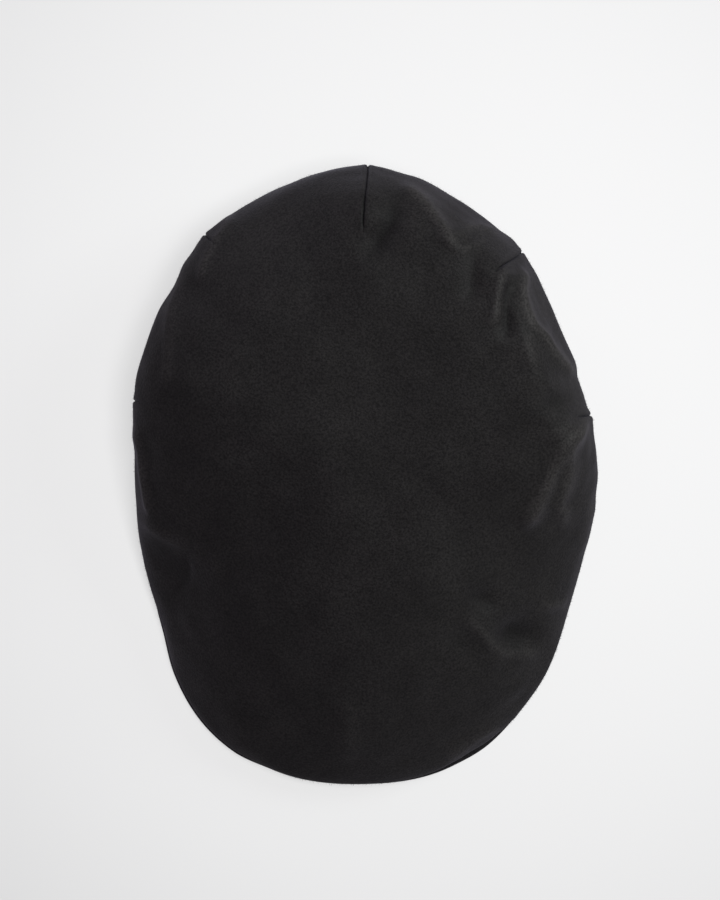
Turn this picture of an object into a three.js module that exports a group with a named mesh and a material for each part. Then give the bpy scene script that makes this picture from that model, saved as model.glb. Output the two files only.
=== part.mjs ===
// A soft flat cap of black brushed wool, lying on a table as it rests by itself.
// The crown is one piece of cloth, shaped by five darts and laid forward over a stiff crescent peak.
// A sweatband stands inside the rim. The peak points to -Y, +Z is up, and lengths are millimetres.
// The origin is the middle of the cap's footprint on the table.
import * as THREE from "three";

// Head opening, inside the sweatband
const headLength = 198;
const headWidth = 163;

// Crown, over the cloth. The overhangs run from the head opening out to the outline seen from above.
const backOverhang = 21;
const sideOverhang = 20;
const crownHeight = 88;
const crownLean = 9;
const shoulderHeight = 45;
const clothWall = 2.2;
const edgeFold = 2;

// Peak. Its depth runs forward from the head opening, and its spread is degrees to each corner.
const peakDepth = 57;
const peakWall = 3;
const peakArch = 15;
const peakDroop = 6;
const peakLip = 1.5;
const peakSpread = 75;

// Sweatband
const bandWall = 1.4;
const bandHeight = 32;
const bandLean = 2;

// Seams and folds. A dart's spread is degrees to each side of its seam.
const seamGap = 0.3;
const dartDepth = 0.9;
const dartSpread = 1.1;
const foldWidth = 9;
const foldRise = 3;

// Degrees before and after the peak's corners in which the crown lifts off the peak and gains its shoulder
const liftsBefore = 27;
const liftsAfter = 9;
const shoulderBefore = 38;
const shoulderAfter = 35;

// Powers of the crown's profile, over the peak and at the sides and back: a higher one is flatter on top,
// or fuller at the shoulder. The belly's power shapes the wall between the widest line and the rim.
const frontFlatness = 2;
const sideFlatness = 2.7;
const frontFullness = 1.25;
const sideFullness = 2;
const bellyPower = 2.2;

// Shares: the peak's lip at the middle of the front, and the wall's extra width where it meets the peak
const lipAtFront = 0.3;
const slantedWall = 0.7;

// Levels of the crown's wall, 0 at the top, 1 at its widest line and 2 at the rim
const slackFrom = 0.7;
const foldsFadeFrom = 1.6;
const dartsFadeFrom = 1.8;
const frontFadeFrom = 0.8;

// Mesh steps: degrees between columns, and rings above and below the crown's widest line
const columnStep = 3.75;
const ringsAbove = 13;
const ringsBelow = 6;

// The outline seen from above, as a share of a plain oval. Toward is degrees from the front, over the
// right side, here and below.
const outlineRows = [
  { toward: 0, reach: 1 },
  { toward: 15, reach: 1.03 },
  { toward: 30, reach: 1.055 },
  { toward: 45, reach: 1.045 },
  { toward: 60, reach: 1.03 },
  { toward: 75, reach: 1.03 },
  { toward: 90, reach: 1 },
  { toward: 105, reach: 0.92 },
  { toward: 120, reach: 0.925 },
  { toward: 133, reach: 0.94 },
  { toward: 142, reach: 0.97 },
  { toward: 150, reach: 0.93 },
  { toward: 165, reach: 0.935 },
  { toward: 180, reach: 0.98 },
  { toward: 195, reach: 0.96 },
  { toward: 210, reach: 0.965 },
  { toward: 220, reach: 0.985 },
  { toward: 230, reach: 0.97 },
  { toward: 250, reach: 0.995 },
  { toward: 270, reach: 0.98 },
  { toward: 285, reach: 0.995 },
  { toward: 300, reach: 1.035 },
  { toward: 315, reach: 1.045 },
  { toward: 330, reach: 1.085 },
  { toward: 345, reach: 1.035 },
];

// Each dart runs up from the rim and over the shoulder, and ends on top at this share of the crown's reach.
const tipTaper = 0.08;
const dartRows = [
  { toward: 94, tip: 0.91 },
  { toward: 140, tip: 0.85 },
  { toward: 180, tip: 0.74 },
  { toward: 218, tip: 0.88 },
  { toward: 262, tip: 0.93 },
];

// Folds of the cloth, from and to a direction and a share of the crown's reach. Width and rise are shares of
// foldWidth and foldRise, and a dent has a negative rise.
const foldRows = [
  { from: [167, 0.99], to: [158, 0.91], width: 0.7, rise: 0.6 },
  { from: [158, 0.91], to: [148, 0.94], width: 0.7, rise: 0.7 },
  { from: [169, 0.9], to: [171, 0.73], width: 1.1, rise: -1 },
  { from: [150, 0.84], to: [146, 0.78], width: 0.8, rise: -0.6 },
  { from: [139, 0.88], to: [130, 0.68], width: 0.7, rise: 0.6 },
  { from: [134, 0.9], to: [124, 0.8], width: 0.8, rise: -0.7 },
  { from: [135, 0.95], to: [126, 0.89], width: 0.6, rise: 0.8 },
  { from: [126, 0.89], to: [106, 0.99], width: 0.6, rise: 0.9 },
  { from: [96, 0.98], to: [62, 0.74], width: 0.9, rise: 0.9 },
  { from: [80, 0.87], to: [64, 0.91], width: 0.6, rise: 0.5 },
  { from: [57, 0.99], to: [45, 0.86], width: 0.9, rise: 0.6 },
  { from: [48, 0.97], to: [36, 0.8], width: 1, rise: -0.9 },
  { from: [39, 0.96], to: [31, 0.74], width: 0.9, rise: 0.5 },
  { from: [277, 1], to: [301, 0.84], width: 0.7, rise: 0.8 },
  { from: [296, 0.97], to: [308, 0.88], width: 1.1, rise: -0.9 },
  { from: [214, 0.98], to: [221, 0.93], width: 0.7, rise: 0.6 },
  { from: [187, 0.92], to: [197, 0.86], width: 0.8, rise: 0.4 },
];

// Slack in the side of the crown between the widest line and the rim: waves round the cap, whose swell is a
// share of foldRise
const slackRows = [
  { waves: 7, phase: 20, swell: 0.35 },
  { waves: 11, phase: 75, swell: 0.22 },
];

// Rounded outer edge of the peak, as shares of its depth and of its wall
const peakEdgeRows = [
  { share: 0.985, height: 0.15 },
  { share: 1, height: 0.5 },
  { share: 0.985, height: 0.85 },
];

// Shares of the peak's depth where its underside and its top have a row of points
const peakSteps = [0, 0.2, 0.4, 0.6, 0.8, 0.93];

const clothColour = new THREE.MeshStandardMaterial({ color: 0x161517, roughness: 0.95, metalness: 0 });
const peakColour = new THREE.MeshStandardMaterial({ color: 0x131214, roughness: 0.9, metalness: 0 });
const bandColour = new THREE.MeshStandardMaterial({ color: 0x1a191c, roughness: 0.8, metalness: 0 });

const backReach = headLength / 2 + backOverhang;
const sideReach = headWidth / 2 + sideOverhang;
const frontReach = headLength / 2 + peakDepth;

const radians = THREE.MathUtils.degToRad;
const smooth = (value, low, high) => THREE.MathUtils.smoothstep(value, low, high);

// Degrees away from the front, 0 to 180, on either side
const fromFront = (toward) => Math.abs(((((toward + 180) % 360) + 360) % 360) - 180);

// A point at a reach and height in one direction from the middle of the head opening
function place(toward, reach, height) {
  const turn = radians(toward);
  return new THREE.Vector3(reach * Math.sin(turn), -reach * Math.cos(turn), height);
}

// The reach of an oval with these half sizes, in one direction
function oval(toward, halfWidth, halfLength) {
  const turn = radians(toward);
  return 1 / Math.hypot(Math.sin(turn) / halfWidth, Math.cos(turn) / halfLength);
}

// The head opening's oval, grown outwards to the band's outer face and to both faces of the crown's hem
const headOval = (toward, grown) => oval(toward, headWidth / 2 + grown, headLength / 2 + grown);
const hemInner = (toward) => headOval(toward, bandWall + seamGap);
const hemOuter = (toward) => headOval(toward, bandWall + seamGap + clothWall);

// The outline's share of the plain oval, by a smooth closed curve through the rows
function outlineShare(toward) {
  const count = outlineRows.length;
  const at = ((toward % 360) + 360) % 360;
  const row = (i) => outlineRows[(i + count) % count];
  const angle = (i) => row(i).toward + 360 * Math.floor(i / count);
  let i = 0;
  while (angle(i + 1) <= at) i += 1;
  const slope = (k) => (row(k + 1).reach - row(k - 1).reach) / (angle(k + 1) - angle(k - 1));
  const span = angle(i + 1) - angle(i);
  const t = (at - angle(i)) / span;
  const rise = t * t * (3 - 2 * t);
  return (
    row(i).reach * (1 - rise) +
    row(i + 1).reach * rise +
    span * t * (1 - t) * ((1 - t) * slope(i) - t * slope(i + 1))
  );
}

// The cap's outline from above
function outline(toward) {
  const lengthReach = Math.cos(radians(toward)) > 0 ? frontReach : backReach;
  return outlineShare(toward) * oval(toward, sideReach, lengthReach);
}

// 1 where the crown lies on the peak, falling to 0 where it comes down to the rim beside it
const overPeak = (toward) => 1 - smooth(fromFront(toward), peakSpread - liftsBefore, peakSpread + liftsAfter);
// 0 at the front and 1 where the crown has its full shoulder
const fullSide = (toward) =>
  smooth(fromFront(toward), peakSpread - shoulderBefore, peakSpread + shoulderAfter);

// The peak's outer edge follows the outline and draws in to the rim at its corners
const peakEdge = (toward) => hemOuter(toward) + (outline(toward) - hemOuter(toward)) * overPeak(toward);

// The crown stops short of the peak's edge, least at the middle of the front
function crownReach(toward) {
  const aside = Math.sin(radians(2 * toward)) ** 2;
  const lip = peakLip * overPeak(toward) * (lipAtFront + (1 - lipAtFront) * aside);
  return outline(toward) - lip;
}

// The crown's lower edge, at the rim or out on the peak
const hemReach = (toward) => hemOuter(toward) + (crownReach(toward) - hemOuter(toward)) * overPeak(toward);

// Height of the peak's underside before it is set on the table: arched across, drooping forwards
function peakCurve(point) {
  const across = point.x / sideReach;
  const corner = hemOuter(peakSpread) * Math.cos(radians(peakSpread));
  const forward = Math.max(0, -point.y - corner) / (frontReach - corner);
  return peakArch * (1 - across * across) - peakDroop * forward * forward;
}

// A point of the peak seen from above, by its share of the peak's depth
function peakPlace(toward, share) {
  return place(toward, hemInner(toward) + share * (peakEdge(toward) - hemInner(toward)), 0);
}

// Directions of the peak's columns, from corner to corner
const peakCount = Math.round((2 * peakSpread) / columnStep);
const peakColumns = Array.from({ length: peakCount + 1 }, (_, i) => peakSpread * ((2 * i) / peakCount - 1));

// The peak's lowest points touch the table
const peakLift = -Math.min(
  ...peakColumns.flatMap((toward) => peakSteps.map((share) => peakCurve(peakPlace(toward, share)))),
);
const peakUnder = (point) => peakCurve(point) + peakLift;

// A height over the peak's underside that comes down to the table beside the peak's corners
function besidePeak(toward, reachOf, height) {
  const side = fromFront(toward);
  const held = side <= peakSpread ? toward : Math.sign(Math.sin(radians(toward))) * peakSpread;
  const onPeak = peakUnder(place(held, reachOf(held), 0)) + height;
  return onPeak * (1 - smooth(side, peakSpread, peakSpread + 2 * columnStep));
}

// The crown's lower edge lies on the peak at the front and on the table elsewhere. Draw is how far inside
// its outer edge the point is.
const hemHeight = (toward, draw = 0) =>
  besidePeak(toward, (held) => hemReach(held) - draw, peakWall + seamGap);

// Height of the crown's widest line
function widestHeight(toward) {
  const shoulder = shoulderHeight - hemHeight(toward);
  return hemHeight(toward) + edgeFold + (shoulder - edgeFold) * fullSide(toward);
}

// How far the inner face stands in from the outer one
const inset = (toward) => clothWall * (1 + slantedWall * overPeak(toward));

// A point of the crown's wall. Level runs from 0 at the top, by 1 at the widest line, to 2 at the rim.
// Above the widest line the wall is a superellipse, and below it a curve that draws in to the rim.
function wallPoint(toward, level, inner) {
  const draw = inner ? inset(toward) : 0;
  const widest = crownReach(toward) - draw;
  const low = widestHeight(toward);
  if (level <= 1) {
    const turn = (level * Math.PI) / 2;
    const flatness = THREE.MathUtils.lerp(frontFlatness, sideFlatness, fullSide(toward));
    const fullness = THREE.MathUtils.lerp(frontFullness, sideFullness, fullSide(toward));
    const reach = widest * Math.sin(turn) ** (2 / flatness);
    const climb = level < 1 ? Math.cos(turn) ** (2 / fullness) : 0;
    const backward = (-Math.cos(radians(toward)) * reach) / backReach;
    const crest = crownHeight + crownLean * backward - (inner ? clothWall : 0);
    return place(toward, reach, low + (crest - low) * climb);
  }
  const down = level - 1;
  const hem = hemReach(toward) - draw;
  const reach = hem + (widest - hem) * (1 - down ** bellyPower);
  return place(toward, reach, low + (hemHeight(toward, draw) - low) * down);
}

// The wall laid flat round the top of the crown, so that distances along the cloth can be measured
function laidFlat(toward, reachShare) {
  const below = Math.max(0, reachShare - 1) * shoulderHeight;
  return place(toward, Math.min(reachShare, 1) * crownReach(toward) + below, 0);
}

// How far the folds lift the cloth at one place
function foldLift(toward, reachShare) {
  const here = laidFlat(toward, reachShare);
  return foldRows.reduce((sum, fold) => {
    const crease = new THREE.Line3(laidFlat(...fold.from), laidFlat(...fold.to));
    const nearest = crease.closestPointToPoint(here, true, new THREE.Vector3());
    const away = here.distanceTo(nearest) / (fold.width * foldWidth);
    return sum + fold.rise * foldRise * Math.exp(-away * away);
  }, 0);
}

// Slack of the side, strongest between the widest line and the rim
function slackLift(toward, level) {
  const along = THREE.MathUtils.clamp((level - slackFrom) / (2 - slackFrom), 0, 1);
  const ripple = slackRows.reduce(
    (sum, row) => sum + row.swell * Math.sin(radians(row.waves * toward + row.phase)),
    0,
  );
  return foldRise * ripple * Math.sin(Math.PI * along) * fullSide(toward);
}

// How far a dart's seam draws the cloth in, from the rim up to the dart's tip
function dartDraw(toward, reachShare) {
  return dartRows.reduce((sum, dart) => {
    const aside = fromFront(toward - dart.toward) / dartSpread;
    return sum + dartDepth * Math.max(0, 1 - aside) * smooth(reachShare, dart.tip, dart.tip + tipTaper);
  }, 0);
}

// A point of the crown's wall moved along its normal by folds and slack, and on the outside by the darts
function drapedPoint(toward, level, inner) {
  const point = wallPoint(toward, level, inner);
  const step = 0.5 / ringsAbove;
  const up = wallPoint(toward, Math.max(step / 4, level - step), inner);
  const down = wallPoint(toward, Math.min(2, level + step), inner);
  const left = wallPoint(toward - 1, level, inner);
  const right = wallPoint(toward + 1, level, inner);
  const normal = down.sub(up).cross(right.sub(left)).normalize();
  const widest = crownReach(toward) - (inner ? inset(toward) : 0);
  const reachShare = level > 1 ? level : Math.hypot(point.x, point.y) / widest;
  const settled = smooth(level, foldsFadeFrom, 2);
  const pressed = overPeak(toward) * smooth(level, frontFadeFrom, 1);
  const lift = (1 - settled) * (1 - pressed) * (foldLift(toward, reachShare) + slackLift(toward, level));
  const drawn = inner ? 0 : dartDraw(toward, reachShare) * (1 - smooth(level, dartsFadeFrom, 2));
  return point.addScaledVector(normal, lift - drawn);
}

// Directions round the rim: even steps, with one at each of the peak's corners, on each dart and beside it
function rimColumns() {
  const count = Math.round(360 / columnStep);
  const even = Array.from({ length: count }, (_, i) => (360 * i) / count);
  const seams = dartRows.flatMap((dart) => [-1, 0, 1].map((side) => dart.toward + side * dartSpread));
  const special = [peakSpread, 360 - peakSpread, ...seams];
  const clear = even.filter((toward) => special.every((kept) => Math.abs(kept - toward) > 0.4 * columnStep));
  return [...clear, ...special].sort((a, b) => a - b);
}

// Joins rings of points with triangles. Two poles close the ends. Without them the last ring meets the
// first.
function weave(rings, poles) {
  const count = rings[0].length;
  const points = rings.flat();
  const triangles = [];
  const joins = poles ? rings.length - 1 : rings.length;
  for (let i = 0; i < joins; i += 1) {
    const low = i * count;
    const high = ((i + 1) % rings.length) * count;
    for (let j = 0; j < count; j += 1) {
      const next = (j + 1) % count;
      triangles.push(low + j, high + j, high + next);
      triangles.push(low + j, high + next, low + next);
    }
  }
  if (poles) {
    const first = points.push(poles[0]) - 1;
    const last = points.push(poles[1]) - 1;
    const end = (rings.length - 1) * count;
    for (let j = 0; j < count; j += 1) {
      const next = (j + 1) % count;
      triangles.push(first, j, next);
      triangles.push(last, end + next, end + j);
    }
  }
  return new THREE.BufferGeometry().setFromPoints(points).setIndex(triangles);
}

// Crown: outer rings from the top down to the rim, then inner rings back up
function makeCrown() {
  const above = Array.from({ length: ringsAbove }, (_, i) => (i + 1) / ringsAbove);
  const below = Array.from({ length: ringsBelow }, (_, i) => 1 + (i + 1) / ringsBelow);
  const columns = rimColumns();
  const face = (inner) =>
    [...above, ...below].map((level) => columns.map((toward) => drapedPoint(toward, level, inner)));
  const poles = [wallPoint(0, 0, false), wallPoint(0, 0, true)];
  const crown = new THREE.Mesh(weave([...face(false), ...face(true).reverse()], poles), clothColour);
  crown.name = "crown";
  return crown;
}

// Peak: one closed section for each column, rounded at its outer edge
function makePeak() {
  const sections = peakColumns.map((toward) => {
    const at = (share, height) => {
      const point = peakPlace(toward, share);
      return point.setZ(peakUnder(point) + height * peakWall);
    };
    const under = peakSteps.map((share) => at(share, 0));
    const edge = peakEdgeRows.map((row) => at(row.share, row.height));
    const over = peakSteps.map((share) => at(share, 1));
    return [...under, ...edge, ...over.reverse()];
  });
  const middle = (section) => {
    const sum = section.reduce((total, point) => total.add(point), new THREE.Vector3());
    return sum.divideScalar(section.length);
  };
  const poles = [middle(sections[0]), middle(sections.at(-1))];
  const peak = new THREE.Mesh(weave(sections, poles), peakColour);
  peak.name = "peak";
  return peak;
}

// Sweatband: a thin oval strip that follows the rim's lower edge and leans in towards its top
function makeSweatband() {
  const foot = (toward) => besidePeak(toward, hemInner, 0);
  const ring = (grown, rise) =>
    rimColumns().map((toward) => place(toward, headOval(toward, grown), foot(toward) + rise));
  const rings = [
    ring(bandWall, 0),
    ring(0, 0),
    ring(-bandLean, bandHeight),
    ring(bandWall - bandLean, bandHeight),
  ];
  const sweatband = new THREE.Mesh(weave(rings), bandColour);
  sweatband.name = "sweatband";
  return sweatband;
}

const cap = new THREE.Group();
cap.add(makeCrown(), makePeak(), makeSweatband());

// Sets the middle of the footprint on the origin
const middle = new THREE.Box3().setFromObject(cap).getCenter(new THREE.Vector3());
cap.position.set(-middle.x, -middle.y, 0);

export default cap;
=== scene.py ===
import bpy
import numpy as np
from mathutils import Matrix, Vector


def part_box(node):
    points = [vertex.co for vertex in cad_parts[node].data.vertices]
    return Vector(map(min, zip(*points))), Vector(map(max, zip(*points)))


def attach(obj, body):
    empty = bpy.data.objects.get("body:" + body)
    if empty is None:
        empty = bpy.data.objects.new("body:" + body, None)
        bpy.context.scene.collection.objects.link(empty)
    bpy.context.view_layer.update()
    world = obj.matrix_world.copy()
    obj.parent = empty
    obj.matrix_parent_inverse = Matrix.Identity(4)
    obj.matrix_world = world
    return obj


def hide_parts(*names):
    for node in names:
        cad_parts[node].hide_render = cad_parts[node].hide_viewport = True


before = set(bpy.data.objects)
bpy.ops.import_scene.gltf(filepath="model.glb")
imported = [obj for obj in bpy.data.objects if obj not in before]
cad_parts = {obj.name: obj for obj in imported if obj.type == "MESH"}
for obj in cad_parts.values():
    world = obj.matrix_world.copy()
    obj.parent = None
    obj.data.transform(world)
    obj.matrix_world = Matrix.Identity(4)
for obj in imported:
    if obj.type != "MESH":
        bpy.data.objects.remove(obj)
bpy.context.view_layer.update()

# Rim: the oval line that all the pieces are sewn to. Its middle and size are read from the sweatband, which
# stands just inside it, and the cloth of the crown lies outside the band with a hair of a gap.
band_wall = 0.0014
seam_gap = 0.0003
cloth_wall = 0.0022
band_low, band_high = (np.array(corner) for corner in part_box("sweatband"))
head_middle = (band_low + band_high)[:2] / 2
head_half = (band_high - band_low)[:2] / 2 - band_wall


def smooth(value, low, high):
    """0 below low, 1 above high, and 3t^2 - 2t^3 of the way t between them."""
    t = np.clip((value - low) / (high - low), 0, 1)
    return t * t * (3 - 2 * t)


def from_front(toward):
    """Degrees away from the front, 0 to 180: the turn wrapped to the half circle on either side."""
    return np.abs(np.mod(toward + 180, 360) - 180)


def oval(toward, half_width, half_length):
    """Reach of an ellipse: one over the length of (sin / half width, cos / half length)."""
    turn = np.radians(toward)
    return 1 / np.hypot(np.sin(turn) / half_width, np.cos(turn) / half_length)


def rim(toward, grown):
    """The head opening's oval, with both half sizes grown by the same amount."""
    return oval(toward, head_half[0] + grown, head_half[1] + grown)


def place(toward, reach, height):
    """Points at (reach sin, -reach cos) from the middle of the head opening, at a height over the table."""
    turn = np.radians(toward)
    x = head_middle[0] + reach * np.sin(turn)
    y = head_middle[1] - reach * np.cos(turn)
    return np.stack(np.broadcast_arrays(x, y, height), axis=-1)


# Outline: the cap's edge seen from above. It is a plain oval, longer at the front where it covers the peak,
# times shares that give it its slumped, uneven form.
back_reach = head_half[1] + 0.021
side_reach = head_half[0] + 0.020
front_reach = head_half[1] + 0.057
outline_rows = np.array([
    # toward, share
    (0, 1.0), (15, 1.028), (22, 1.047), (30, 1.053), (38, 1.058), (50, 1.034), (60, 1.028),
    (75, 1.032), (83, 1.028), (90, 1.002), (97, 0.971), (105, 0.939), (120, 0.933), (128, 0.943),
    (134, 0.952), (141, 0.961), (147, 0.946), (157, 0.942), (165, 0.948), (172, 0.958), (180, 0.98),
    (195, 0.961), (205, 0.966), (213, 0.976), (220, 0.986), (230, 0.963), (240, 0.99),
    (250, 0.994), (260, 0.981), (270, 0.977), (276, 0.98), (282, 0.992), (287, 1.0),
    (300, 1.022), (307, 1.026), (315, 1.042), (322, 1.074), (330, 1.085), (338, 1.069), (345, 1.037),
])


def outline(toward):
    """Oval times a closed cubic through the rows. Its slope at a row is the chord of its neighbours."""
    angles, shares = outline_rows.T
    spans = np.mod(np.roll(angles, -1) - angles, 360)
    slopes = (np.roll(shares, -1) - np.roll(shares, 1)) / (spans + np.roll(spans, 1))
    at = np.mod(toward, 360)
    i = np.searchsorted(angles, at, side="right") - 1
    j = (i + 1) % len(angles)
    t = (at - angles[i]) / spans[i]
    rise = t * t * (3 - 2 * t)
    bend = spans[i] * t * (1 - t) * ((1 - t) * slopes[i] - t * slopes[j])
    share = shares[i] * (1 - rise) + shares[j] * rise + bend
    reach = np.where(np.cos(np.radians(toward)) > 0, front_reach, back_reach)
    return share * oval(toward, side_reach, reach)


# Peak: a stiff crescent board under the front of the crown, covered with the same wool, whose edge shows as a
# thin lip. It arches across, droops forwards, and is closed by a seam that runs round its edge.
peak_wall = 0.003
peak_arch = 0.015
peak_droop = 0.006
peak_spread = 75
lifts_before = 27
lifts_after = 9
corner_blend = 7.5
hem_outer = band_wall + seam_gap + cloth_wall
hem_inner = band_wall + seam_gap
lip_rows = np.array([
    # toward, how far the peak's edge stands out from under the crown in millimetres, or back under it
    (-75, -1.0), (-58, -0.6), (-47, 0.9), (-32, 1.1), (-20, 0.9), (-10, 0.3), (4, 0.3),
    (12, 1.1), (19, 2.3), (24, 1.4), (29, -0.3), (36, -1.0), (75, -1.0),
])


def over_peak(toward):
    """1 where the crown lies on the peak, smoothly down to 0 just behind the peak's corners."""
    return 1 - smooth(from_front(toward), peak_spread - lifts_before, peak_spread + lifts_after)


def lip(toward):
    """The rows in metres, joined by straight lines and held past the first and last."""
    side = np.mod(toward + 180, 360) - 180
    return 0.001 * np.interp(side, *lip_rows.T)


def peak_edge(toward):
    """From the rim out to the outline, or just under the crown's edge, by the share over the peak."""
    edge = outline(toward) + np.minimum(lip(toward), 0)
    return rim(toward, hem_outer) + (edge - rim(toward, hem_outer)) * over_peak(toward)


def peak_curve(point):
    """An arch that falls with the square of x, less a droop with the square of the way forwards."""
    across = (point[..., 0] - head_middle[0]) / side_reach
    corner = rim(peak_spread, hem_outer) * np.cos(np.radians(peak_spread))
    forward = np.maximum(0, head_middle[1] - point[..., 1] - corner) / (front_reach - corner)
    return peak_arch * (1 - across**2) - peak_droop * forward**2


def peak_place(toward, share):
    """A point of the peak from above: share 0 at the rim and 1 at the peak's edge."""
    inner = rim(toward, hem_inner)
    return place(toward, inner + share * (peak_edge(toward) - inner), 0.0)


peak_turns, peak_depths = np.meshgrid(np.linspace(-peak_spread, peak_spread, 241), np.linspace(0, 1, 41))
peak_lift = -peak_curve(peak_place(peak_turns, peak_depths)).min()


def peak_under(point):
    """Height of the peak's underside, with its lowest points on the table."""
    return peak_curve(point) + peak_lift


def held_at_corners(toward):
    """The direction itself over the peak, and past it that of the nearer corner."""
    corner = np.sign(np.sin(np.radians(toward))) * peak_spread
    return np.where(from_front(toward) <= peak_spread, toward, corner)


def above_table(toward):
    """1 over the peak, smoothly down to 0 just behind its corners, where the rim lies on the table."""
    return 1 - smooth(from_front(toward), peak_spread, peak_spread + corner_blend)


def new_piece(name, points, faces, finish):
    """An object in the scene with one mesh and one material."""
    mesh = bpy.data.meshes.new(name)
    mesh.from_pydata(points, [], faces)
    mesh.materials.append(finish)
    piece = bpy.data.objects.new(name, mesh)
    bpy.context.scene.collection.objects.link(piece)
    return piece


def grid_mesh(name, rings, poles, finish):
    """A closed mesh from an array of rings of points. Each ring joins the next and closes on itself. Two
    poles close the first and last ring, and without them the last ring joins the first."""
    count, around = rings.shape[:2]
    index = np.arange(count * around).reshape(count, around)
    low = index[:-1] if poles is not None else index
    high = index[1:] if poles is not None else np.roll(index, -1, axis=0)
    high_next, low_next = np.roll(high, -1, axis=1), np.roll(low, -1, axis=1)
    quads = np.stack([low, high, high_next, low_next], axis=-1).reshape(-1, 4)
    points = rings.reshape(-1, 3)
    faces = quads.tolist()
    if poles is not None:
        first, last = index[0], index[-1]
        start = np.full(around, len(points))
        faces += np.stack([start, first, np.roll(first, -1)], axis=-1).tolist()
        faces += np.stack([start + 1, np.roll(last, -1), last], axis=-1).tolist()
        points = np.concatenate([points, poles])
    piece = new_piece(name, points.tolist(), faces, finish)
    piece.data.polygons.foreach_set("use_smooth", np.ones(len(faces), dtype=bool))
    return piece


def new_finish(name):
    """A material with its nodes on, and its shader."""
    finish = bpy.data.materials.new(name)
    finish.use_nodes = True
    return finish, finish.node_tree.nodes["Principled BSDF"]


def brushed_wool(name, base, mottle, nap_depth):
    """Black wool. Colour: base, varied by soft patches and fine tangle, paler where the attribute is above 0
    (wear and painted highlights) and darker where it is below 0 (painted shade in hollows and dart grooves).
    Surface: bumps of short tangled fibres at two scales. Sheen stands for the nap, which glows where it is
    seen at a grazing angle."""
    finish, shader = new_finish(name)
    nodes, links = finish.node_tree.nodes, finish.node_tree.links
    shader.inputs["Roughness"].default_value = 0.62
    shader.inputs["Specular IOR Level"].default_value = 0.11
    shader.inputs["Sheen Weight"].default_value = 0.11
    shader.inputs["Sheen Roughness"].default_value = 0.38
    shader.inputs["Sheen Tint"].default_value = (0.86, 0.80, 1.0, 1)
    coords = nodes.new("ShaderNodeTexCoord")

    def noise(scale, detail):
        node = nodes.new("ShaderNodeTexNoise")
        node.inputs["Scale"].default_value = scale
        node.inputs["Detail"].default_value = detail
        links.new(coords.outputs["Object"], node.inputs["Vector"])
        return node.outputs["Fac"]

    def ramp(source, low, high, dark, light):
        node = nodes.new("ShaderNodeMapRange")
        node.inputs["From Min"].default_value = low
        node.inputs["From Max"].default_value = high
        node.inputs["To Min"].default_value = dark
        node.inputs["To Max"].default_value = light
        links.new(source, node.inputs["Value"])
        return node.outputs["Result"]

    def multiply(colour, factor):
        node = nodes.new("ShaderNodeMix")
        node.data_type = "RGBA"
        node.blend_type = "MULTIPLY"
        node.inputs[0].default_value = 1.0
        if isinstance(colour, tuple):
            node.inputs[6].default_value = colour
        else:
            links.new(colour, node.inputs[6])
        links.new(factor, node.inputs[7])
        return node.outputs[2]

    fibre_scale = 1100
    clump_scale = 450
    patch_scale = 60
    patches = ramp(noise(patch_scale, 3), 0.35, 0.65, 1 - mottle, 1 + mottle)
    tangle = ramp(noise(fibre_scale, 1), 0.3, 0.7, 0.55, 1.45)
    wear_and_light_values = nodes.new("ShaderNodeAttribute")
    wear_and_light_values.attribute_name = "wear_and_painted_light"
    # Paler above 0 by wear and painted highlights; darker below 0 by painted shade in hollows and grooves.
    paler_by_wear_and_highlight = ramp(wear_and_light_values.outputs["Fac"], 0, 2, 1, 2.0)
    painted_shade_factor = ramp(wear_and_light_values.outputs["Fac"], -4, 0, 0.1, 1)
    wool_colour_with_painted_light = multiply(multiply(multiply(multiply((*base, 1), patches), tangle), paler_by_wear_and_highlight), painted_shade_factor)
    links.new(wool_colour_with_painted_light, shader.inputs["Base Color"])
    normal = None
    for scale, depth in ((fibre_scale, nap_depth), (clump_scale, nap_depth * 0.3)):
        nap = nodes.new("ShaderNodeBump")
        nap.inputs["Distance"].default_value = depth
        nap.inputs["Strength"].default_value = 1.0
        links.new(noise(scale, 3), nap.inputs["Height"])
        if normal is not None:
            links.new(normal, nap.inputs["Normal"])
        normal = nap.outputs["Normal"]
    links.new(normal, shader.inputs["Normal"])
    return finish


crown_wool = brushed_wool("crown_wool", (0.0140, 0.0132, 0.0125), 0.12, 0.00020)
peak_wool = brushed_wool("peak_wool", (0.0130, 0.0124, 0.0126), 0.10, 0.00020)

edge_round = 0.0015
peak_rounds = np.linspace(0, np.pi, 13)
peak_flats = np.linspace(0, 1, 40)
turns = np.linspace(-peak_spread, peak_spread, 301)
depth = peak_edge(turns) - rim(turns, hem_inner)
flat_share = (1 - edge_round / depth)[:, None] * peak_flats
round_share = 1 - (edge_round / depth)[:, None] * (1 - np.sin(peak_rounds))
share = np.concatenate([flat_share, round_share[:, 1:-1], flat_share[:, ::-1]], axis=1)
level = np.concatenate([0 * peak_flats, (1 - np.cos(peak_rounds[1:-1])) / 2, 1 + 0 * peak_flats])
sections = peak_place(turns[:, None] + 0 * share, share)
sections[..., 2] = peak_under(sections) + level * peak_wall
peak_piece = grid_mesh("peak_cover", sections, sections[[0, -1]].mean(axis=1), peak_wool)
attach(peak_piece, "root")
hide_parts("peak")

# Crown: one round piece of wool, taken in by five darts round its edge and drawn in to the rim, where it is
# turned up and sewn. It lies over the peak at the front, and slumps in soft folds between the darts.
crown_height = 0.088
crown_lean = 0.009
crown_tilt = 0.0035
shoulder_height = 0.045
shoulder_before = 38
shoulder_after = 35
edge_fold = 0.002
hem_round = 0.0009
slanted_wall = 0.7
puff_rise = 0.013
puff_share = 0.85
puff_starts = (76, 106)
puff_ends = (172, 200)
puff_falls = 0.8
# Powers of the crown's profile, over the peak and at the sides and back, and the share that is even round the
# top's middle
front_flatness = 2
side_flatness = 3.2
top_middle = 0.45
front_fullness = 1.25
side_fullness = 2.0
belly_power = 2.2
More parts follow.
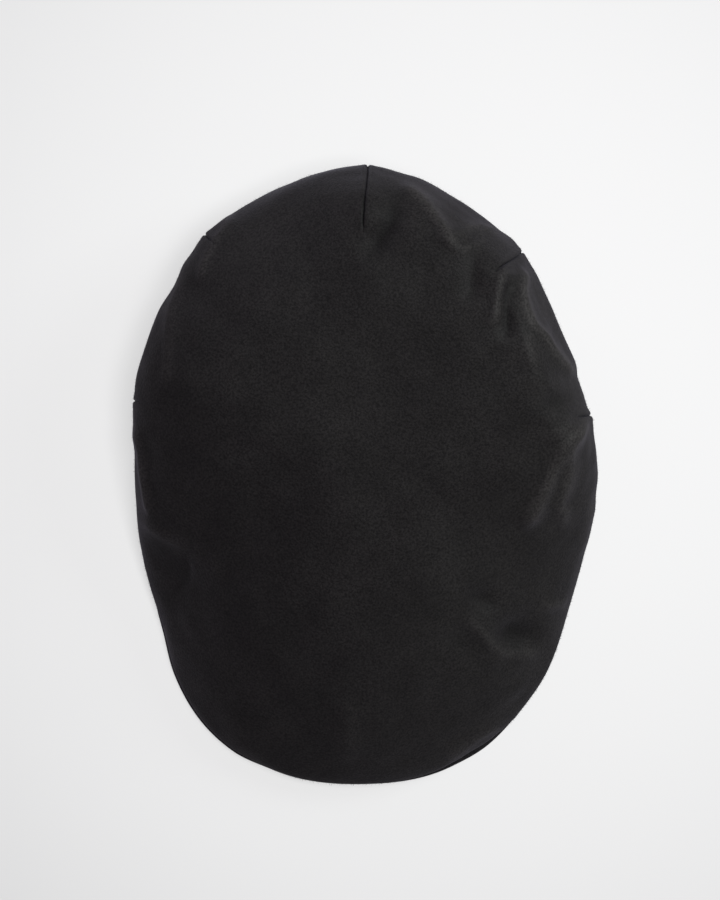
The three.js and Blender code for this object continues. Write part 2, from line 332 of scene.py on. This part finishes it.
# A dart's groove, the painted shade that darkens the line down it, and the welt that is raised beside it.
# The pull is the degrees round a leaning seam in which the cloth leans with it.
dart_depth = 0.0007
dart_groove = 0.0004
dart_shade_width = 0.0005
dart_painted_shade = 4
dart_pull = 7
dart_welt = 0.0016
dart_welt_width = 0.0012
dart_welt_share = 0.35
dart_rows = (
    # toward, share where the dart ends, degrees that it leans by at the outline
    (94, 0.93, 0.3),
    (140.5, 0.83, -2.2),
    (180, 0.735, -1.3),
    (218, 0.93, 0.4),
    (262, 0.96, 0.0),
)
fold_rows = (
    # width and rise in millimetres, lean towards the line's left, then the line's points: toward, share
    (2.6, 2.6, 0.3, ((172, 0.945), (169, 0.93), (165, 0.905), (161, 0.87), (158, 0.84), (152, 0.805))),
    (2.0, 1.2, 0.0, ((154, 0.84), (152, 0.92), (148, 0.96), (145, 0.985))),
    (1.8, 1.2, 0.0, ((154, 0.82), (151, 0.825), (149, 0.87), (147, 0.915))),
    (5.0, -4.8, 0.0, ((170, 0.94), (171, 0.88), (172, 0.80), (174, 0.73), (177, 0.67), (181, 0.62))),
    (3.4, -2.4, 0.0, ((151, 0.89), (148, 0.84), (145, 0.78), (142, 0.72), (139, 0.66))),
    (2.4, 2.0, 0.3, ((140, 0.88), (138, 0.83), (136, 0.795), (132, 0.74), (130, 0.68))),
    (2.6, -3.2, 0.0, ((137, 0.875), (134, 0.835), (131, 0.80), (126, 0.765), (121, 0.74))),
    (2.2, 3.0, 0.3, ((137, 0.945), (134, 0.92), (131, 0.88), (126, 0.86), (122, 0.865), (118, 0.895),
                     (112, 0.925), (108, 0.955), (104, 0.99))),
    (2.6, 1.2, 0.0, ((122, 0.845), (118, 0.82), (114, 0.81), (109, 0.81))),
    (3.6, -3.2, 0.0, ((103, 0.94), (100, 0.90), (98, 0.84), (94, 0.78))),
    (1.8, 0.8, 0.0, ((95, 0.92), (91, 0.845), (89, 0.785), (88, 0.745))),
    (3.2, 3.6, 0.2, ((93, 0.97), (91, 0.92), (88, 0.85), (84, 0.81), (78, 0.77), (70, 0.745), (62, 0.72),
                     (58, 0.70))),
    (3.2, 2.2, 0.2, ((96, 1.05), (94, 0.985), (90, 0.905), (86, 0.86), (81, 0.85), (76, 0.845), (70, 0.835),
                     (68, 0.86), (64, 0.89))),
    (2.4, 1.3, 0.0, ((44, 0.85), (46, 0.885), (48, 0.925), (50, 0.96), (52, 0.985))),
    (5.4, -4.6, 0.0, ((31, 0.74), (35, 0.79), (38, 0.84), (41, 0.90), (44, 0.96))),
    (3.5, -3.0, 0.0, ((32, 0.60), (35, 0.64), (37, 0.69), (38, 0.745))),
    (2.8, 1.2, 0.2, ((29, 0.63), (30, 0.675), (31, 0.74), (32, 0.80), (34, 0.855), (38, 0.925), (39, 0.965))),
    (5.0, -1.6, 0.0, ((25, 0.61), (26, 0.69), (30, 0.78))),
    (6.0, 2.0, 0.0, ((356, 0.72), (357, 0.80), (357, 0.88), (356, 0.97))),
    (2.2, 1.2, -0.3, ((26, 0.995), (22, 0.975), (18, 0.985), (14, 0.995))),
    (1.6, 2.0, 0.3, ((268, 0.985), (272, 0.975), (276, 0.965), (282, 0.95), (288, 0.935), (292, 0.925))),
    (2.6, -0.7, 0.0, ((270, 0.95), (276, 0.94), (282, 0.925), (288, 0.905))),
    (2.6, 1.3, 0.3, ((291, 0.99), (294, 0.935), (298, 0.88), (301, 0.84), (305, 0.80))),
    (5.4, -2.4, 0.0, ((295, 0.96), (300, 0.91), (305, 0.88), (310, 0.875), (316, 0.89))),
    (1.2, -0.8, 0.0, ((305, 0.82), (308, 0.83), (310, 0.855), (310, 0.92))),
    (3.0, 0.8, 0.0, ((307, 0.705), (312, 0.71), (318, 0.705))),
    (2.9, 1.3, 0.3, ((223, 1.04), (231, 0.975), (238, 0.935), (243, 0.905), (251, 0.87), (259, 0.875))),
    (1.8, 1.6, 0.0, ((211, 1.01), (214, 0.955), (218, 0.935), (223, 0.915), (228, 0.89))),
    (3.3, 0.9, 0.3, ((313, 0.96), (318, 0.985), (323, 0.965))),
    (3.5, 1.2, 0.0, ((75, 0.97), (67, 0.985), (60, 0.99))),
)
# Past this many widths a fold is nothing. Ridges and hollows have their own round. Ridges are paler by wear
# and a painted highlight, hollows darker by painted shade, and the crown's edge where the lip shows has a
# painted highlight.
fold_spread = 7
ridge_round = 0.6
hollow_round = 1.0
narrow_ridge = 2.6
hollow_painted_shade = 0.5
lip_painted_highlight = 1.5
# Levels from which the slack starts, and from which folds and darts fade towards the rim, or over the peak
slack_from = 0.7
folds_fade_from = 1.6
darts_fade_from = 1.9
front_fade_from = 0.8
slack_rows = (
    # waves round the cap, their phase in degrees, and their share of the slack's swell
    (7, 20, 0.35),
    (11, 75, 0.22),
)
slack_swell = 0.003
uneven_rows = (
    # length and height of the cloth's unevenness, and its seed
    (0.045, 0.0005, 3),
    (0.014, 0.00015, 4),
)


def full_side(toward):
    """0 at the front and 1 where the crown has its full shoulder."""
    return smooth(from_front(toward), peak_spread - shoulder_before, peak_spread + shoulder_after)


def puffed(toward, share):
    """The crown stands fuller at the back right: a rise that grows with the cube of the share and falls back
    to 0 at the outline."""
    sector = smooth(toward, *puff_starts) * (1 - smooth(toward, *puff_ends))
    return puff_rise * sector * (share / puff_share) ** 3 * (1 - smooth(share, puff_falls, 1))


def crown_reach(toward):
    """The outline, less the lip where the peak's edge shows."""
    return outline(toward) - np.maximum(lip(toward), 0) * over_peak(toward)


def hem_reach(toward):
    """The crown's lower edge: at the rim, or out on the peak."""
    return rim(toward, hem_outer) + (crown_reach(toward) - rim(toward, hem_outer)) * over_peak(toward)


def hem_height(toward, draw):
    """On the peak's top in front, and down on the table behind its corners."""
    held = held_at_corners(toward)
    on_peak = peak_under(place(held, hem_reach(held) - draw, 0.0)) + peak_wall + seam_gap
    return on_peak * above_table(toward)


def crown_wall(toward, level, inner):
    """Level 0 to 1 is the top: share of the reach sin(level * 90 degrees), height a superellipse of that
    share. Level 1 to 2 is the side: the reach falls to the rim with a power of the way down."""
    draw = inner * cloth_wall * (1 + slanted_wall * over_peak(toward))
    widest = crown_reach(toward) - draw
    low = hem_height(toward, 0.0)
    low = low + edge_fold + (shoulder_height - low - edge_fold) * full_side(toward)
    share = np.sin(np.minimum(level, 1) * np.pi / 2)
    flatter = (side_flatness - front_flatness) * full_side(toward) * smooth(share, 0, top_middle)
    flatness = front_flatness + flatter
    fullness = front_fullness + (side_fullness - front_fullness) * full_side(toward)
    climb = np.maximum(0, 1 - share**flatness) ** (1 / fullness)
    backward = -np.cos(np.radians(toward)) * share * widest / back_reach
    aside = np.sin(np.radians(toward)) * share * widest / side_reach
    crest = crown_height + crown_lean * backward + crown_tilt * aside - inner * cloth_wall
    down = np.maximum(level - 1, 0)
    hem = hem_reach(toward) - draw
    bottom = hem_height(toward, draw) + hem_round
    reach = np.where(level <= 1, share * widest, hem + (widest - hem) * (1 - down**belly_power))
    top = low + (crest - low) * climb + puffed(toward, share)
    height = np.where(level <= 1, top, low + (bottom - low) * down)
    return place(toward, reach, height), np.where(level <= 1, share, level)


def laid_flat(toward, share):
    """The cloth laid flat round the top: past the outline the shoulder's height is added to the reach."""
    reach = np.minimum(share, 1) * crown_reach(toward) + np.maximum(share - 1, 0) * shoulder_height
    return place(toward, reach, 0.0)[..., :2]


def drawn_line(marks):
    """A smooth line through the marks, laid flat, four steps to a span: cubic spans whose slope at a mark is
    half the chord between its neighbours, start + chord t / 2 + a t^2 + b t^3."""
    turns, shares = np.array(marks, dtype=float).T
    spots = laid_flat(turns, shares)
    spots = np.concatenate([2 * spots[:1] - spots[1:2], spots, 2 * spots[-1:] - spots[-2:-1]])
    before, start, end, after = (spots[k:len(spots) - 3 + k, None] for k in range(4))
    t = np.linspace(0, 1, 4, endpoint=False)[:, None]
    square = before - 2.5 * start + 2 * end - after / 2
    cube = 1.5 * (start - end) + (after - before) / 2
    span = start + (end - before) / 2 * t + (square * t**2 + cube * t**3)
    return np.concatenate([span.reshape(-1, 2), spots[-2:-1]])


def fold_lift(toward, share):
    """Sum over the folds of rise * exp(r - sqrt((distance / width)^2 + r^2)), laid flat: a crest with a small
    round r, sharp for a ridge and wide for a hollow. The width grows to the side that the fold leans to, and
    the rise dies out over the last 3 mm and two widths at both ends. Also gives each point's wear and painted
    light: the sum of share * rise in millimetres * exp(-(1.1 * distance / width)^2). Above 0, on a ridge, it
    is wear and a painted highlight, with share 1 on a narrow ridge and less on a wide one. Below 0, in a
    hollow, it is painted shade, with share a half."""
    here = laid_flat(toward, share)
    lift = np.zeros(toward.shape)
    wear_and_painted_light = np.zeros(toward.shape)
    for width, rise, lean, marks in fold_rows:
        line = drawn_line(marks)
        steps = np.diff(line, axis=0)
        lengths = np.linalg.norm(steps, axis=1)
        runs = np.concatenate([[0], np.cumsum(lengths)])
        reach = fold_spread * width * 0.001
        close = ((here > line.min(axis=0) - reach) & (here < line.max(axis=0) + reach)).all(axis=-1)
        spots = here[close]
        gaps = spots[:, None] - line[:-1]
        along = np.clip((gaps * steps).sum(axis=-1) / lengths**2, 0, 1)
        gaps = gaps - along[..., None] * steps
        nearest = np.linalg.norm(gaps, axis=-1).argmin(axis=1)
        pick = np.arange(len(spots)), nearest
        away = np.linalg.norm(gaps[pick], axis=-1)
        side = np.sign(steps[nearest, 0] * gaps[pick][:, 1] - steps[nearest, 1] * gaps[pick][:, 0])
        run = runs[nearest] + along[pick] * lengths[nearest]
        tail = 0.003 + 0.002 * width
        fade = smooth(run, -0.001, tail) * smooth(runs[-1] - run, -0.001, tail)
        crest = ridge_round if rise > 0 else hollow_round
        far = away / (width * 0.001 * (1 + lean * side))
        lift[close] += 0.001 * rise * fade * np.exp(crest - np.hypot(far, crest))
        # Ridges: paler by wear and a painted highlight. Hollows: darker by painted shade.
        wear_and_shade_share = min(1, narrow_ridge / width) ** 2 if rise > 0 else hollow_painted_shade
        wear_and_painted_light[close] += wear_and_shade_share * rise * fade * np.exp(-((1.1 * far) ** 2))
    return lift, wear_and_painted_light


def slack_lift(toward, level):
    """Waves round the side, strongest half way between the shoulder and the rim."""
    along = np.clip((level - slack_from) / (2 - slack_from), 0, 1)
    ripple = sum(swell * np.sin(np.radians(waves * toward + phase)) for waves, phase, swell in slack_rows)
    return slack_swell * ripple * np.sin(np.pi * along) * full_side(toward)


def unevenness(points, size, seed):
    """Soft random relief, seldom past -1 or 1: sine waves of about one length in random directions, their
    sum over the root of their count."""
    count = 24
    draws = np.random.default_rng(seed)
    headings = draws.normal(size=(count, 3))
    lengths = size * draws.uniform(0.7, 1.6, count)
    headings *= (2 * np.pi / lengths / np.linalg.norm(headings, axis=1))[:, None]
    phases = draws.uniform(0, 2 * np.pi, count)
    return np.sin(points @ headings.T + phases).sum(axis=-1) / np.sqrt(count)


def rounded_edge(one, other, depth):
    """Five rings from one edge to the other over half an ellipse: middle + half gap * cos + depth * sin."""
    turn = np.linspace(0, np.pi, 7)[1:-1, None, None]
    bulge = np.sin(turn) * np.array([0, 0, depth])
    return (one + other) / 2 + (one - other) / 2 * np.cos(turn) + bulge


# Columns stand closest on the side with the most folds, and beside each dart's seam
even = np.concatenate([np.arange(0, 20, 0.7), np.arange(20.2, 174.6, 0.42), np.arange(175, 360, 0.7)])
beside = np.array([-0.8, -0.45, -0.25, -0.12, 0, 0.12, 0.25, 0.45, 0.8])
seams = np.concatenate([dart[0] + beside for dart in dart_rows])
clear = np.abs(even[:, None] - seams).min(axis=1) > 0.3
columns = np.sort(np.concatenate([even[clear], seams]))
outer_levels = np.concatenate([
    np.linspace(0, 0.42, 20)[1:],
    np.linspace(0.42, 1, 56)[1:],
    np.linspace(1, 2, 25)[1:],
])
inner_levels = np.concatenate([np.linspace(0, 1, 14)[1:], np.linspace(1, 2, 9)[1:]])


def crown_face(levels, inner):
    """One face of the wall. Each point moves along the surface's normal by folds, slack and unevenness, less
    the darts' grooves: depth * exp(-(distance / groove)^2), with the cloth a little raised beside them. It
    also gives each point's wear and painted light: the folds' share, painted shade down each dart's line, and
    a painted highlight along the edge where the peak's lip shows."""
    level, toward = np.meshgrid(levels, columns, indexing="ij")
    for dart, tip, lean in dart_rows:
        near = np.exp(-(((np.mod(toward - dart + 180, 360) - 180) / dart_pull) ** 2))
        toward = toward + lean * near * smooth(np.sin(np.minimum(level, 1) * np.pi / 2), tip - 0.02, 1)
    base, share = crown_wall(toward, level, inner)
    shifted = np.roll(base, -1, axis=1) - np.roll(base, 1, axis=1)
    normal = np.cross(np.gradient(base, axis=0), shifted)
    normal /= np.linalg.norm(normal, axis=-1, keepdims=True)
    pressed = over_peak(toward) * smooth(level, front_fade_from, 1)
    settle = (1 - smooth(level, folds_fade_from, 2)) * (1 - pressed)
    folds, wear_and_painted_light = fold_lift(toward, share)
    lift = settle * (folds + slack_lift(toward, level))
    waves = 0
    for size, rise, seed in uneven_rows:
        waves = waves + rise * unevenness(base, size, seed)
    lift = lift + settle * waves
    if not inner:
        for dart, tip, lean in dart_rows:
            shift = lean * smooth(share, tip - 0.02, 1)
            aside = np.abs(np.mod(toward - dart - shift + 180, 360) - 180)
            aside = np.radians(aside) * np.hypot(*(base[..., :2] - head_middle).transpose(2, 0, 1))
            along = smooth(share, tip - 0.01, tip + 0.04) * (1 - smooth(level, darts_fade_from, 2))
            lift = lift - dart_depth * along * np.exp(-((aside / dart_groove) ** 2))
            # Painted shade: the colour darkened down the middle of the dart's groove.
            wear_and_painted_light = wear_and_painted_light - dart_painted_shade * along * np.exp(-((aside / dart_shade_width) ** 2))
            welt = np.exp(-(((aside - dart_welt) / dart_welt_width) ** 2))
            lift = lift + dart_welt_share * dart_depth * along * welt
    # Painted highlight: a paler band near the crown's edge where the peak's lip shows.
    wear_and_painted_light = wear_and_painted_light + lip_painted_highlight * over_peak(toward) * (lip(toward) > 0.0002) * smooth(level, 0.93, 0.99)
    return base + normal * lift[..., None], wear_and_painted_light


outer, outer_wear_and_painted_light = crown_face(outer_levels, 0)
inner, _ = crown_face(inner_levels, 1)
hem = rounded_edge(outer[-1], inner[-1], -hem_round)
poles = np.stack([crown_wall(0.0, 0.0, part)[0] for part in (0, 1)])
crown_piece = grid_mesh("crown_cloth_piece", np.concatenate([outer, hem, inner[::-1]]), poles, crown_wool)
# The outer face's wear and painted light, 0 on the hem and the inner face.
wear_and_light_values = np.zeros(len(crown_piece.data.vertices))
wear_and_light_values[:outer_wear_and_painted_light.size] = outer_wear_and_painted_light.ravel()
crown_piece.data.attributes.new("wear_and_painted_light", "FLOAT", "POINT").data.foreach_set("value", wear_and_light_values)
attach(crown_piece, "root")
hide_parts("crown")

# Nap: short loose hairs that stand up from the brushed wool, most of them where the crown turns down at its
# edge, so that its outline against the table is soft. Each is a bent spike with its foot in the cloth.
hair_count = 9000
hair_foot = 0.00015
hair_thick = 0.00003
hair_shortest = 0.0003
hair_spread = 0.0011
hair_lean = 0.7
hair_bend = 0.5
edge_share = 0.7
edge_band = (0.85, 1.3)
draws = np.random.default_rng(11)
hair_turns = draws.uniform(0, 360, hair_count)
at_edge = draws.random(hair_count) < edge_share
edge_levels = draws.uniform(*edge_band, hair_count)
top_levels = np.arcsin(np.sqrt(draws.uniform(0, 1, hair_count))) * 2 / np.pi
hair_levels = np.where(at_edge, edge_levels, top_levels)


def on_cloth(turns, levels):
    """Points of the crown's outer face and its normals there, from the grid's four corners round each."""
    row = np.interp(levels, outer_levels, np.arange(len(outer_levels)))
    column = np.interp(turns, columns, np.arange(len(columns)))
    i = np.minimum(row.astype(int), len(outer_levels) - 2)
    j = np.minimum(column.astype(int), len(columns) - 2)
    down, across = (row - i)[:, None], (column - j)[:, None]
    low, high = outer[i, j], outer[i + 1, j]
    low_next, high_next = outer[i, j + 1], outer[i + 1, j + 1]
    upper = low * (1 - across) + low_next * across
    lower = high * (1 - across) + high_next * across
    spots = upper * (1 - down) + lower * down
    normals = np.cross(high - low, low_next - low)
    return spots, normals / np.linalg.norm(normals, axis=1, keepdims=True)


def hairs(spots, normals, name, finish):
    """Two rings of three points and a tip along each bent hair. It leaves along the normal plus a random
    lean, its upper half bends by another, and its length is shortest + spread * (0 to 1)^2."""
    count = len(spots)
    lean = draws.normal(0, hair_lean, (count, 3))
    heading = normals + lean - normals * np.minimum(0, (lean * normals).sum(axis=1, keepdims=True))
    heading /= np.linalg.norm(heading, axis=1, keepdims=True)
    bent = heading + draws.normal(0, hair_bend, (count, 3))
    bent /= np.linalg.norm(bent, axis=1, keepdims=True)
    length = hair_shortest + hair_spread * draws.uniform(0, 1, (count, 1)) ** 2
    foot = spots - normals * hair_foot
    knee = spots + heading * length * 0.5
    tip = knee + bent * length * 0.5
    side = np.cross(heading, draws.normal(0, 1, (count, 3)))
    side /= np.linalg.norm(side, axis=1, keepdims=True)
    turn = np.array([0, 2, 4])[:, None, None] * np.pi / 3
    ring = hair_thick * (side * np.cos(turn) + np.cross(heading, side) * np.sin(turn))
    points = np.concatenate([foot + ring, knee + 0.7 * ring, tip[None]]).transpose(1, 0, 2).reshape(-1, 3)
    pattern = [
        (0, 2, 1), (0, 1, 4), (0, 4, 3), (1, 2, 5), (1, 5, 4),
        (2, 0, 3), (2, 3, 5), (3, 4, 6), (4, 5, 6), (5, 3, 6),
    ]
    faces = (7 * np.arange(count)[:, None, None] + np.array(pattern)).reshape(-1, 3)
    return new_piece(name, points.tolist(), faces.tolist(), finish)


loose_wool, loose_shader = new_finish("loose_wool")
loose_shader.inputs["Base Color"].default_value = (0.020, 0.019, 0.021, 1)
loose_shader.inputs["Roughness"].default_value = 0.6
loose_shader.inputs["Specular IOR Level"].default_value = 0.3
nap_piece = hairs(*on_cloth(hair_turns, hair_levels), "crown_nap", loose_wool)
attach(nap_piece, "root")

# Sweatband: a strip of woven tape inside the rim, sewn along its lower edge and leaning in towards its top.
# The photograph doesn't show it, so it is plain.
band_height = 0.032
band_lean = 0.002
band_round = 0.0006
band_tape = brushed_wool("band_tape", (0.011, 0.011, 0.012), 0.05, 0.00010)


def band_foot(toward):
    """The tape's lower edge follows the peak's underside in front and the table behind."""
    held = held_at_corners(toward)
    return peak_under(place(held, rim(held, hem_inner), 0.0)) * above_table(toward)


around = np.arange(0, 360, 1.0)
foot = band_foot(around)
heights = np.linspace(band_round / band_height, 1 - band_round / band_height, 24)
inside, outside = (
    np.stack([place(around, rim(around, wall - band_lean * h), foot + h * band_height) for h in heights])
    for wall in (0, band_wall)
)
top_edge = rounded_edge(inside[-1], outside[-1], band_round)
foot_edge = rounded_edge(outside[0], inside[0], -band_round)
band_rings = np.concatenate([inside, top_edge, outside[::-1], foot_edge])
band_piece = grid_mesh("sweatband_tape_piece", band_rings, None, band_tape)
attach(band_piece, "root")
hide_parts("sweatband")

# Table: a pale top whose brightness is painted light. It glows though it is no lamp, a painted pool of light
# brightest a little to the upper right. The glow is dimmed for the light that it throws on the cap, and is
# full only in the camera's view.
table_paint, table_shader = new_finish("table_paint")
table_nodes, table_links = table_paint.node_tree.nodes, table_paint.node_tree.links
table_shader.inputs["Base Color"].default_value = (0.09, 0.09, 0.09, 1)
table_shader.inputs["Roughness"].default_value = 0.9
table_shader.inputs["Specular IOR Level"].default_value = 0.1
table_shader.inputs["Emission Color"].default_value = (1, 1, 1, 1)
table_coords = table_nodes.new("ShaderNodeTexCoord")
table_away = table_nodes.new("ShaderNodeVectorMath")
table_away.operation = "SUBTRACT"
table_away.inputs[1].default_value = (0.06, 0.06, 0)
table_square = table_nodes.new("ShaderNodeVectorMath")
table_square.operation = "DOT_PRODUCT"
# Painted pool of light: the glow falls off with the squared distance from a spot a little to the upper right.
table_painted_light_pool = table_nodes.new("ShaderNodeMapRange")
table_painted_light_pool.inputs["From Min"].default_value = 0.0
table_painted_light_pool.inputs["From Max"].default_value = 0.15
table_painted_light_pool.inputs["To Min"].default_value = 0.684
table_painted_light_pool.inputs["To Max"].default_value = 0.428
table_rays = table_nodes.new("ShaderNodeLightPath")
table_dim = table_nodes.new("ShaderNodeMapRange")
table_dim.inputs["To Min"].default_value = 0.15
table_level = table_nodes.new("ShaderNodeMath")
table_level.operation = "MULTIPLY"
table_links.new(table_coords.outputs["Object"], table_away.inputs[0])
table_links.new(table_away.outputs["Vector"], table_square.inputs[0])
table_links.new(table_away.outputs["Vector"], table_square.inputs[1])
table_links.new(table_square.outputs["Value"], table_painted_light_pool.inputs["Value"])
table_links.new(table_rays.outputs["Is Camera Ray"], table_dim.inputs["Value"])
table_links.new(table_painted_light_pool.outputs["Result"], table_level.inputs[0])
table_links.new(table_dim.outputs["Result"], table_level.inputs[1])
table_links.new(table_level.outputs["Value"], table_shader.inputs["Emission Strength"])
table_half = 3.0
corners = [(x * table_half, y * table_half, 0.0) for x, y in ((-1, -1), (1, -1), (1, 1), (-1, 1))]
table = new_piece("table", corners, [(0, 1, 2, 3)], table_paint)

world = bpy.data.worlds.new("studio")
world.use_nodes = True
world.node_tree.nodes["Background"].inputs["Color"].default_value = (1.0, 0.91, 1.03, 1)
world.node_tree.nodes["Background"].inputs["Strength"].default_value = 0.36
bpy.context.scene.world = world
bpy.context.scene.view_settings.view_transform = "Standard"


def soft_light(name, spot, size, power, colour):
    """A square area light at a spot, turned to the cap's middle."""
    lamp = bpy.data.lights.new(name, "AREA")
    lamp.size = size
    lamp.energy = power
    lamp.color = colour
    holder = bpy.data.objects.new(name, lamp)
    holder.location = spot
    to_cap = -np.array(spot)
    pitch = np.arctan2(np.hypot(to_cap[0], to_cap[1]), -to_cap[2])
    holder.rotation_euler = (pitch, 0, np.arctan2(to_cap[1], to_cap[0]) - np.pi / 2)
    bpy.context.scene.collection.objects.link(holder)
    return holder


# A window from the right and back, a weak fill from the front, a violet sky from the back left, and a lamp
# overhead that lights the table alone and gives the cap its thin shadow.
soft_light("window", (1.65, 0.8, 1.5), 0.9, 43, (0.93, 0.99, 0.98))
soft_light("fill", (0.5, -2.0, 0.8), 0.9, 2, (1.0, 1.0, 1.0))
soft_light("sky", (-1.2, 1.6, 1.0), 1.2, 12, (0.90, 0.86, 1.0))
overhead = soft_light("overhead", (0.28, 0.05, 2.0), 0.5, 75, (1, 1, 1))
lit_by_overhead = bpy.data.collections.new("lit_by_overhead")
lit_by_overhead.objects.link(table)
overhead.light_linking.receiver_collection = lit_by_overhead

# Camera: straight above, 2.2 m up, as far as the picture's width of 321 mm on the table asks
view_height = 2.2
seen_length = 0.276
seen_length_pixels = 619
pixel = seen_length / seen_length_pixels
picture = (720, 900)
head_pixel = (362, 433)
camera_data = bpy.data.cameras.new("camera")
camera_data.sensor_fit = "HORIZONTAL"
camera_data.lens = camera_data.sensor_width * view_height / (picture[0] * pixel)
camera = bpy.data.objects.new("camera", camera_data)
camera.location = (
    head_middle[0] - (head_pixel[0] - picture[0] / 2) * pixel,
    head_middle[1] + (head_pixel[1] - picture[1] / 2) * pixel,
    view_height,
)
bpy.context.scene.collection.objects.link(camera)
bpy.context.scene.camera = camera
